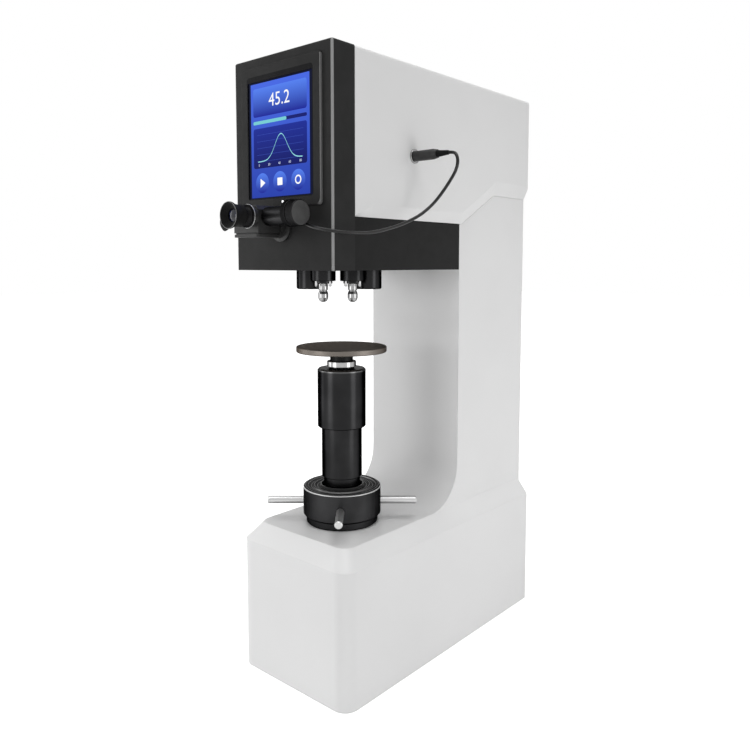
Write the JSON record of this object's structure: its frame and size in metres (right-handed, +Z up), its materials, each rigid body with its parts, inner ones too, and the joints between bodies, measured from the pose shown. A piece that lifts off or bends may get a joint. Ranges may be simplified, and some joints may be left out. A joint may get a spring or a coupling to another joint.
{
  "type": "bench hardness tester",
  "caption": "Bench hardness tester: C-shaped cast frame, hand-raised anvil, turret of indenters and objectives, touch screen head and measuring eyepiece.",
  "frame": {"origin": "on the spindle axis, at the underside of the base", "axes": "+Z up, -Y towards the operator's side with the screen, +X to the operator's right"},
  "size_m": [0.2551, 0.519, 0.79],
  "materials": {
    "painted_white": "satin powder coat, pale warm grey",
    "cover_dark": "satin charcoal",
    "skirt_dark": "satin black",
    "gloss_black": "gloss black",
    "polished_steel": "polished",
    "machined_steel": "turned and ground",
    "anvil_steel": "blackened, faint turning rings",
    "bronze": "turned bronze",
    "plastic_black": "fine matt",
    "rubber": "soft matt",
    "screen_glass": "glossy lit panel",
    "optic_glass": "coated optical glass",
    "fascia": "glossy blue-black",
    "circuit": "lacquered board",
    "grey_steel": "bare sheet steel",
    "dark_screws": "zinc plated",
    "lamp_lens": "clear diffusing lens"
  },
  "bodies": {
    "frame": {"frame_casting": "painted_white", "base_plate": "grey_steel", "guide_bushing": "bronze", "thrust_bearing": "machined_steel", "key_plate": "machined_steel", "turret_bearing": "bronze", "turret_motor": "plastic_black", "shaft_guide": "bronze", "lever_bracket": "grey_steel", "pivot_pin": "machined_steel", "loading_motor": "plastic_black", "power_supply": "grey_steel", "control_board": "circuit", "rear_cover": "painted_white", "rear_cover_screws": "dark_screws", "head_shell": "painted_white", "head_skirt": "skirt_dark", "front_cover": "cover_dark", "screen_fascia": "fascia", "touch_screen": "screen_glass", "display_unit": "plastic_black", "power_inlet": "plastic_black", "eyepiece_boss": "gloss_black", "eyepiece_lead": "rubber", "lead_socket": "plastic_black", "lead_plug": "plastic_black", "plug_boot": "rubber", "status_lamp": "lamp_lens"},
    "handwheel": {"handwheel_hub": "gloss_black", "wiper_ring": "plastic_black", "elevating_nut": "machined_steel", "handwheel_rods": "polished_steel"},
    "spindle": {"elevating_screw": "machined_steel", "lower_tube": "gloss_black", "upper_sleeve": "gloss_black", "spindle_ring": "polished_steel"},
    "anvil": {"anvil": "anvil_steel"},
    "turret": {"turret_disc": "machined_steel", "turret_shaft": "machined_steel", "indenter_holder_left": "gloss_black", "indenter_holder_right": "gloss_black", "objective_rear": "gloss_black", "objective_side": "gloss_black", "objective_lenses": "optic_glass"},
    "indenter_left": {"indenter_left": "polished_steel"},
    "indenter_right": {"indenter_right": "polished_steel"},
    "load_shaft": {"load_shaft": "machined_steel"},
    "load_lever": {"load_lever": "grey_steel"},
    "load_nut": {"load_nut": "bronze", "load_cell": "machined_steel"},
    "load_screw": {"load_screw": "machined_steel"},
    "rocker": {"power_rocker": "plastic_black"},
    "eyepiece": {"eyepiece_housing": "plastic_black", "drum_neck": "gloss_black", "encoder_housing": "plastic_black", "lead_gland": "plastic_black"},
    "drum": {"measuring_drum": "plastic_black"},
    "ocular": {"ocular_ring": "plastic_black", "eyecup": "rubber", "eye_lens": "optic_glass"}
  },
  "joints": [
    {"name": "handwheel_spin", "type": "hinge", "parent": "frame", "child": "handwheel", "pos_m": [0, 0, 0.2], "axis": [0, 0, 1], "range_deg": [-3840, 3240]},
    {"name": "spindle_lift", "type": "slide", "parent": "frame", "child": "spindle", "axis": [0, 0, 1], "range_m": [-0.0641, 0.0541]},
    {"name": "anvil_turn", "type": "hinge", "parent": "spindle", "child": "anvil", "pos_m": [0, 0, 0.42], "axis": [0, 0, 1], "continuous": true},
    {"name": "turret_turn", "type": "hinge", "parent": "frame", "child": "turret", "pos_m": [-0.029, 0.026, 0.54], "axis": [0, 0, 1], "range_deg": [-83.2, 96.8]},
    {"name": "indenter_left_press", "type": "slide", "parent": "turret", "child": "indenter_left", "axis": [0, 0, 1], "range_m": [-0.002, 0], "stiffness_N_per_m": 2000, "springref_m": 0.001},
    {"name": "indenter_right_press", "type": "slide", "parent": "turret", "child": "indenter_right", "axis": [0, 0, 1], "range_m": [-0.002, 0], "stiffness_N_per_m": 2000, "springref_m": 0.001},
    {"name": "load_nut_lift", "type": "slide", "parent": "frame", "child": "load_nut", "axis": [0, 0, 1], "range_m": [0, 0.00382]},
    {"name": "load_screw_spin", "type": "hinge", "parent": "frame", "child": "load_screw", "pos_m": [0, 0.25, 0.65], "axis": [0, 0, 1], "range_deg": [0, 688]},
    {"name": "load_lever_tilt", "type": "hinge", "parent": "frame", "child": "load_lever", "pos_m": [0, 0.11, 0.6754], "axis": [1, 0, 0], "range_deg": [0, 1.6]},
    {"name": "load_shaft_press", "type": "slide", "parent": "frame", "child": "load_shaft", "axis": [0, 0, 1], "range_m": [-0.0031, 0]},
    {"name": "rocker_tilt", "type": "hinge", "parent": "frame", "child": "rocker", "pos_m": [0.03, 0.327, 0.112], "axis": [1, 0, 0], "range_deg": [0, 14]},
    {"name": "eyepiece_turn", "type": "hinge", "parent": "frame", "child": "eyepiece", "pos_m": [0, -0.115, 0.583], "axis": [0, -1, 0], "range_deg": [0, 90]},
    {"name": "drum_spin", "type": "hinge", "parent": "eyepiece", "child": "drum", "pos_m": [0.06, -0.1325, 0.5965], "axis": [1, 0, 0], "continuous": true},
    {"name": "ocular_turn", "type": "hinge", "parent": "eyepiece", "child": "ocular", "pos_m": [0, -0.16, 0.594], "axis": [0, -1, 0], "range_deg": [-170, 170]}
  ],
  "couplings": [
    {"joint": "spindle_lift", "follows": "handwheel_spin", "m_per_rad": 0.00095493},
    {"joint": "load_screw_spin", "follows": "load_nut_lift", "rad_per_m": 3141.6},
    {"joint": "load_lever_tilt", "follows": "load_nut_lift", "rad_per_m": 7.14},
    {"joint": "load_shaft_press", "follows": "load_nut_lift", "ratio": -0.7854}
  ]
}
